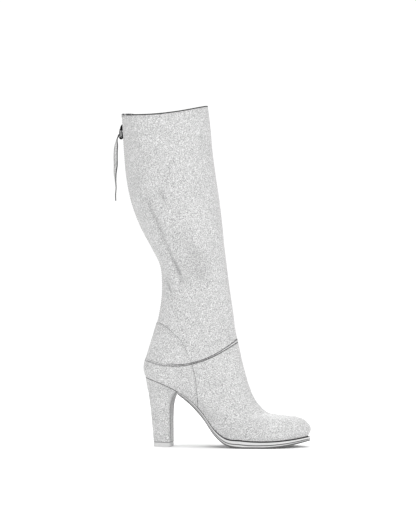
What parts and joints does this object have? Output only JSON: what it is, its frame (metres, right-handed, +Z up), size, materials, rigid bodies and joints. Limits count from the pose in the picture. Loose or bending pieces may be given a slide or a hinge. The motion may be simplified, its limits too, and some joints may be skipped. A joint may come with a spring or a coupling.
{
  "type": "heeled boot",
  "caption": "Knee-high right boot in grained leather on a block heel and low platform sole, zipped up the back with a leather strip on the pull.",
  "frame": {"origin": "on the floor below the middle of the boot's length and width, without the hanging strip", "axes": "+X towards the toe, -Y the outer side, +Z up"},
  "size_m": [0.2745, 0.1112, 0.4718],
  "materials": {
    "leather": "pale grey, fine grain, matt",
    "insole_leather": "smooth, matt",
    "sole_edge": "painted edge, satin",
    "sole_rubber": "matt",
    "zip_metal": "dark, satin"
  },
  "bodies": {
    "boot": {"upper": "leather", "shaft": "leather", "insole": "insole_leather", "midsole": "sole_edge", "outsole": "sole_rubber", "heel": "leather", "toplift": "sole_rubber", "zip_teeth": "zip_metal", "zip_row_outer": "zip_metal", "zip_row_inner": "zip_metal", "zip_slider": "zip_metal"},
    "pull_ring": {"pull_ring": "zip_metal", "pull_thong": "leather"}
  },
  "joints": [
    {"name": "pull_swing", "type": "hinge", "parent": "boot", "child": "pull_ring", "pos_m": [-0.13142, 0, 0.43922], "axis": [0, 1, 0], "range_deg": [0, 150]}
  ]
}
